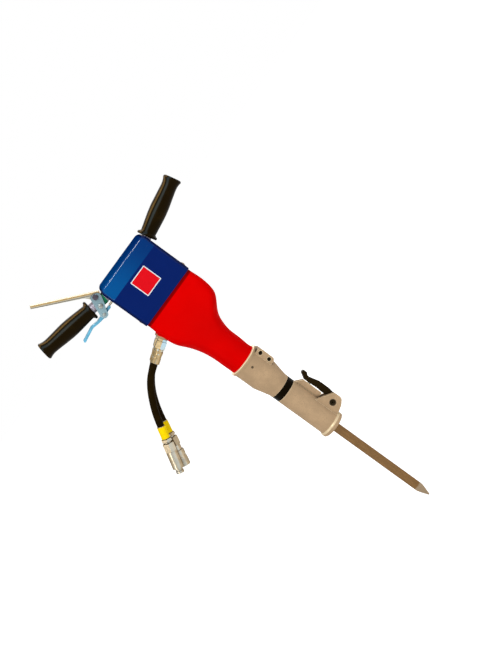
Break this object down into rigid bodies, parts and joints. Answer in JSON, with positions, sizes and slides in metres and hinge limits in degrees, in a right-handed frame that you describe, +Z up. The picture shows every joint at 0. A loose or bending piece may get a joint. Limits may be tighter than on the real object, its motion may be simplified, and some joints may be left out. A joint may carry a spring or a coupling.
{
  "type": "handheld hydraulic breaker",
  "caption": "Handheld hydraulic breaker with a sprung handle head, finger trigger, safety catch, latch-held hexagon chisel and short hose tails with flat-face couplings.",
  "frame": {"origin": "on the tool's axis, level with the middle of the two hand grips", "axes": "+Z up along the tool's axis away from the chisel; X along the handles with the trigger at -X; the front faces -Y"},
  "size_m": [0.5688, 0.11, 1.0667],
  "materials": {
    "blue_hood": "gloss enamel on pressed steel",
    "red_casing": "gloss red enamel on a light-alloy casting",
    "tan_casting": "as cast, bare, with machined rims",
    "grey_casting": "as cast",
    "zinc_steel": "bright zinc plating",
    "arm_zinc": "yellow-tinted zinc plating",
    "steel": "ground",
    "dark_steel": "black oxide",
    "latch_steel": "blackened forging",
    "chisel_steel": "rolled, lightly scaled",
    "coupling_steel": "nickel and passivated zinc",
    "brass": "turned",
    "black_rubber": "satin moulded rubber",
    "hose_rubber": "cloth-marked hose cover",
    "green_plastic": "moulded",
    "blue_plastic": "moulded",
    "yellow_tag": "plain film tag"
  },
  "bodies": {
    "handle": {"hood": "blue_hood", "handle_yoke": "zinc_steel", "handle_tube_left": "zinc_steel", "handle_tube_right": "zinc_steel", "grip_left": "black_rubber", "grip_right": "black_rubber", "tube_sleeve": "green_plastic", "guide_shoes": "zinc_steel", "hood_screws": "zinc_steel", "trigger_pivot_pin": "zinc_steel", "pivot_bushes": "brass", "damper_buffers": "black_rubber"},
    "machine": {"main_casing": "red_casing", "valve_block": "grey_casting", "valve_block_screws": "dark_steel", "spool_spring": "steel", "valve_plug": "zinc_steel", "accumulator_diaphragm": "black_rubber", "accumulator_cover": "steel", "reversing_sleeve": "steel", "cylinder_liner": "steel", "liner_seals": "black_rubber", "rod_seal": "black_rubber", "front_head": "tan_casting", "clamp_screws": "dark_steel", "joint_band": "black_rubber", "latch_housing": "tan_casting", "tool_bushing": "steel", "bushing_pin": "dark_steel", "latch_detent": "black_rubber", "latch_pin": "dark_steel", "hose_adapter_front": "zinc_steel", "hose_adapter_back": "zinc_steel", "hose_nut_front": "zinc_steel", "hose_nut_back": "zinc_steel", "hose_ferrule_front": "zinc_steel", "hose_ferrule_back": "zinc_steel", "hose_front": "hose_rubber", "hose_back": "hose_rubber", "end_ferrule_front": "zinc_steel", "end_ferrule_back": "zinc_steel", "hose_tag_front": "yellow_tag", "hose_tag_back": "yellow_tag", "coupling_female": "coupling_steel", "coupling_male": "coupling_steel"},
    "trigger": {"trigger_arm": "arm_zinc", "cheek_plate_front": "zinc_steel", "cheek_plate_back": "zinc_steel", "arm_bolt": "dark_steel", "catch_rivet": "zinc_steel"},
    "catch": {"safety_catch": "blue_plastic"},
    "plunger": {"plunger": "steel"},
    "spool": {"valve_spool": "steel"},
    "latch": {"latch_lever": "latch_steel"},
    "chisel": {"chisel": "chisel_steel"},
    "piston": {"piston": "steel"},
    "reversing_valve": {"reversing_valve": "steel"},
    "coupling_sleeve": {"coupling_sleeve": "coupling_steel"}
  },
  "joints": [
    {"name": "suspension", "type": "slide", "parent": "handle", "child": "machine", "axis": [0, 0, 1], "range_m": [0, 0.007], "stiffness_N_per_m": 30000, "springref_m": -0.002, "deforming": ["damper_buffers"]},
    {"name": "trigger_pivot", "type": "hinge", "parent": "handle", "child": "trigger", "pos_m": [-0.0931, 0, -0.0246], "axis": [0, -1, 0], "range_deg": [0, 16], "stiffness_Nm_per_rad": 8, "springref_deg": -8.59},
    {"name": "catch_pivot", "type": "hinge", "parent": "trigger", "child": "catch", "pos_m": [-0.1045, 0, -0.0439], "axis": [0, 1, 0], "range_deg": [0, 6], "stiffness_Nm_per_rad": 0.6, "springref_deg": -8.59},
    {"name": "plunger_slide", "type": "slide", "parent": "handle", "child": "plunger", "axis": [1, 0, 0], "range_m": [0, 0.0054]},
    {"name": "spool_slide", "type": "slide", "parent": "machine", "child": "spool", "axis": [1, 0, 0], "range_m": [0, 0.0054]},
    {"name": "latch_pivot", "type": "hinge", "parent": "machine", "child": "latch", "pos_m": [0.0438, 0, -0.6168], "axis": [0, 1, 0], "range_deg": [0, 90]},
    {"name": "chisel_slide", "type": "slide", "parent": "machine", "child": "chisel", "axis": [0, 0, 1], "range_m": [0, 0.03]},
    {"name": "piston_slide", "type": "slide", "parent": "machine", "child": "piston", "axis": [0, 0, 1], "range_m": [0, 0.045]},
    {"name": "reversing_valve_slide", "type": "slide", "parent": "machine", "child": "reversing_valve", "axis": [0, 0, 1], "range_m": [0, 0.004]},
    {"name": "coupling_sleeve_slide", "type": "slide", "parent": "machine", "child": "coupling_sleeve", "axis": [0.472, 0.0315, 0.881], "range_m": [0, 0.006], "stiffness_N_per_m": 1500, "springref_m": -0.002}
  ],
  "couplings": [
    {"joint": "plunger_slide", "follows": "trigger_pivot", "m_per_rad": 0.019},
    {"joint": "spool_slide", "follows": "trigger_pivot", "m_per_rad": 0.019}
  ]
}
